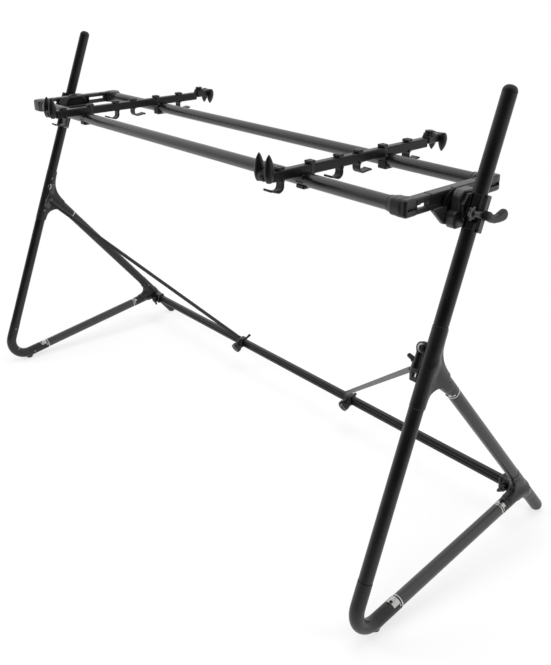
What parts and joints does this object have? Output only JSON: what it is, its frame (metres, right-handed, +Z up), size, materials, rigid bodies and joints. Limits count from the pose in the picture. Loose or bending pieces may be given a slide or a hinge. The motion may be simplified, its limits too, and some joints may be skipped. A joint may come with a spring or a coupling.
{
  "type": "keyboard stand",
  "caption": "Tubular keyboard stand with leaning side frames, a braced crossbar and a tilting bed of rails with sliding support arms, flip stops and cable hooks.",
  "frame": {"origin": "middle of the outline on the floor", "axes": "+X along the keyboard to the player's right, +Y away from the player, +Z up"},
  "size_m": [1.428, 0.5741, 0.9187],
  "materials": {
    "black_tube": "satin black paint",
    "black_casting": "satin black paint on cast metal",
    "black_rail": "semi-gloss black paint",
    "black_plastic": "fine matte",
    "grey_steel": "satin grey"
  },
  "bodies": {
    "base": {"crossbar": "black_rail", "post_tube_right": "black_tube", "post_tube_left": "black_tube", "upper_joint_right": "black_casting", "upper_joint_left": "black_casting", "lower_tube_right": "black_tube", "lower_tube_left": "black_tube", "front_elbow_right": "black_casting", "front_elbow_left": "black_casting", "floor_tube_right": "black_tube", "floor_tube_left": "black_tube", "rear_foot_right": "black_casting", "rear_foot_left": "black_casting", "rear_leg_right": "black_tube", "rear_leg_left": "black_tube", "end_bracket_right": "black_plastic", "end_bracket_left": "black_plastic", "brace_right": "grey_steel", "brace_left": "grey_steel", "brace_bracket_right": "black_plastic", "brace_bracket_left": "black_plastic", "crossbar_clamp_right": "black_plastic", "crossbar_clamp_left": "black_plastic"},
    "end_lever_right": {"end_lever_right": "black_plastic"},
    "clamp_knob_right": {"clamp_knob_right": "black_plastic"},
    "wing_screw_right": {"wing_screw_right": "black_plastic"},
    "end_lever_left": {"end_lever_left": "black_plastic"},
    "clamp_knob_left": {"clamp_knob_left": "black_plastic"},
    "wing_screw_left": {"wing_screw_left": "black_plastic"},
    "carriage": {"post_clamp_right": "black_plastic", "post_clamp_left": "black_plastic"},
    "clamp_lever_right": {"clamp_lever_right": "black_plastic"},
    "clamp_lever_left": {"clamp_lever_left": "black_plastic"},
    "bed": {"bed_rail_front": "black_rail", "bed_rail_rear": "black_rail", "side_member_right": "black_casting", "side_member_left": "black_casting", "corner_block_front_right": "black_plastic", "corner_block_front_left": "black_plastic", "corner_block_rear_right": "black_plastic", "corner_block_rear_left": "black_plastic"},
    "arm_right": {"arm_bar_right": "black_plastic", "cable_hook_right_1": "black_plastic", "cable_hook_right_2": "black_plastic", "cable_hook_right_3": "black_plastic", "cable_hook_right_4": "black_plastic", "rail_clamp_front_right": "black_plastic", "rail_clamp_rear_right": "black_plastic"},
    "front_stop_right": {"front_stop_right": "black_plastic"},
    "rear_stop_right": {"rear_stop_right": "black_plastic"},
    "arm_left": {"arm_bar_left": "black_plastic", "cable_hook_left_1": "black_plastic", "cable_hook_left_2": "black_plastic", "cable_hook_left_3": "black_plastic", "cable_hook_left_4": "black_plastic", "rail_clamp_front_left": "black_plastic", "rail_clamp_rear_left": "black_plastic"},
    "front_stop_left": {"front_stop_left": "black_plastic"},
    "rear_stop_left": {"rear_stop_left": "black_plastic"}
  },
  "joints": [
    {"name": "height_slide", "type": "slide", "parent": "base", "child": "carriage", "axis": [0, 0.3481, 0.9375], "range_m": [-0.12, 0.16]},
    {"name": "bed_tilt", "type": "hinge", "parent": "carriage", "child": "bed", "pos_m": [0, -0.0326, 0.7198], "axis": [1, 0, 0], "range_deg": [-25, 25]},
    {"name": "arm_right_slide", "type": "slide", "parent": "bed", "child": "arm_right", "axis": [1, 0, 0], "range_m": [-0.37, 0.185]},
    {"name": "front_stop_right_flip", "type": "hinge", "parent": "arm_right", "child": "front_stop_right", "pos_m": [0.4, -0.22907, 0.75844], "axis": [0, 1, 0.0044], "range_deg": [0, 180]},
    {"name": "rear_stop_right_flip", "type": "hinge", "parent": "arm_right", "child": "rear_stop_right", "pos_m": [0.4, 0.21453, 0.76038], "axis": [0, 1, 0.0044], "range_deg": [0, 180]},
    {"name": "clamp_lever_right_turn", "type": "hinge", "parent": "carriage", "child": "clamp_lever_right", "pos_m": [0.7028, -0.0306, 0.7178], "axis": [1, 0, 0], "range_deg": [-90, 90]},
    {"name": "end_lever_right_turn", "type": "hinge", "parent": "base", "child": "end_lever_right", "pos_m": [0.6527, 0.19774, 0.0745], "axis": [0, 1, 0], "range_deg": [-60, 60]},
    {"name": "clamp_knob_right_spin", "type": "hinge", "parent": "base", "child": "clamp_knob_right", "pos_m": [0.202, 0.19331, 0.0714], "axis": [0, -0.9063, -0.4226], "continuous": true},
    {"name": "wing_screw_right_spin", "type": "hinge", "parent": "base", "child": "wing_screw_right", "pos_m": [0.6556, -0.12312, 0.476], "axis": [-1, 0, 0], "continuous": true},
    {"name": "arm_left_slide", "type": "slide", "parent": "bed", "child": "arm_left", "axis": [1, 0, 0], "range_m": [-0.2, 0.353]},
    {"name": "front_stop_left_flip", "type": "hinge", "parent": "arm_left", "child": "front_stop_left", "pos_m": [-0.383, -0.22907, 0.75844], "axis": [0, 1, 0.0044], "range_deg": [0, 180]},
    {"name": "rear_stop_left_flip", "type": "hinge", "parent": "arm_left", "child": "rear_stop_left", "pos_m": [-0.383, 0.21453, 0.76038], "axis": [0, 1, 0.0044], "range_deg": [0, 180]},
    {"name": "clamp_lever_left_turn", "type": "hinge", "parent": "carriage", "child": "clamp_lever_left", "pos_m": [-0.7028, -0.0306, 0.7178], "axis": [1, 0, 0], "range_deg": [-90, 90]},
    {"name": "end_lever_left_turn", "type": "hinge", "parent": "base", "child": "end_lever_left", "pos_m": [-0.6527, 0.19774, 0.0745], "axis": [0, 1, 0], "range_deg": [-60, 60]},
    {"name": "clamp_knob_left_spin", "type": "hinge", "parent": "base", "child": "clamp_knob_left", "pos_m": [-0.222, 0.19331, 0.0714], "axis": [0, -0.9063, -0.4226], "continuous": true},
    {"name": "wing_screw_left_spin", "type": "hinge", "parent": "base", "child": "wing_screw_left", "pos_m": [-0.6556, -0.12312, 0.476], "axis": [1, 0, 0], "continuous": true}
  ]
}
